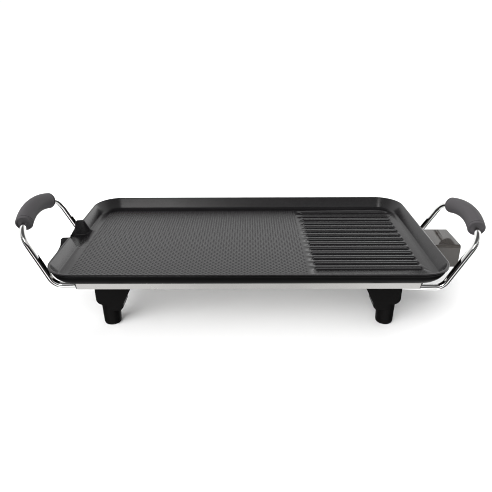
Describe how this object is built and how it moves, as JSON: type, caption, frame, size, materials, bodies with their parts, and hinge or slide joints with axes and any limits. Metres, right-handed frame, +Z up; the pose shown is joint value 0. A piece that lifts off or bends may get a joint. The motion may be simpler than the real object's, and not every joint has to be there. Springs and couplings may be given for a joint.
{
  "type": "electric griddle",
  "caption": "Rectangular electric table griddle: non-stick cast tray with a ribbed zone and a grease chute, steel base pan, moulded legs, bent chrome rod handles and a thermostat socket.",
  "frame": {"origin": "on the table, under the middle of the griddle's overall box", "axes": "+X towards the thermostat socket, -Y towards the cook, +Z up"},
  "size_m": [0.6096, 0.27, 0.1446],
  "materials": {
    "coating": "satin black non-stick coating on cast aluminium",
    "pan_steel": "bright brushed stainless steel",
    "screw_steel": "zinc plated",
    "sheath": "dark oxidised element sheath",
    "ceramic": "unglazed steatite",
    "brass": "plain",
    "nickel": "nickel plated",
    "chrome": "mirror chrome plated",
    "shroud_plastic": "glossy dark moulding",
    "leg_plastic": "fine matt texture",
    "foot_rubber": "matt",
    "grip_rubber": "soft matt foam rubber"
  },
  "bodies": {
    "root": {"griddle_plate": "coating", "base_pan": "pan_steel", "heating_element": "sheath", "element_clamps": "screw_steel", "clamp_screws": "screw_steel", "terminal_plate": "screw_steel", "terminal_plate_screws": "screw_steel", "pin_insulators": "ceramic", "terminal_pins": "nickel", "probe_guide": "brass", "earth_contact": "brass", "earth_rivet": "brass", "socket_shroud": "shroud_plastic", "shroud_screws": "screw_steel", "pan_screws": "screw_steel", "front_left_leg": "leg_plastic", "front_right_leg": "leg_plastic", "rear_left_leg": "leg_plastic", "rear_right_leg": "leg_plastic", "leg_screws": "screw_steel", "front_left_foot": "foot_rubber", "front_right_foot": "foot_rubber", "rear_left_foot": "foot_rubber", "rear_right_foot": "foot_rubber", "left_handle_rod": "chrome", "right_handle_rod": "chrome", "left_grip": "grip_rubber", "right_grip": "grip_rubber", "rod_lock_screws": "screw_steel"}
  },
  "joints": []
}
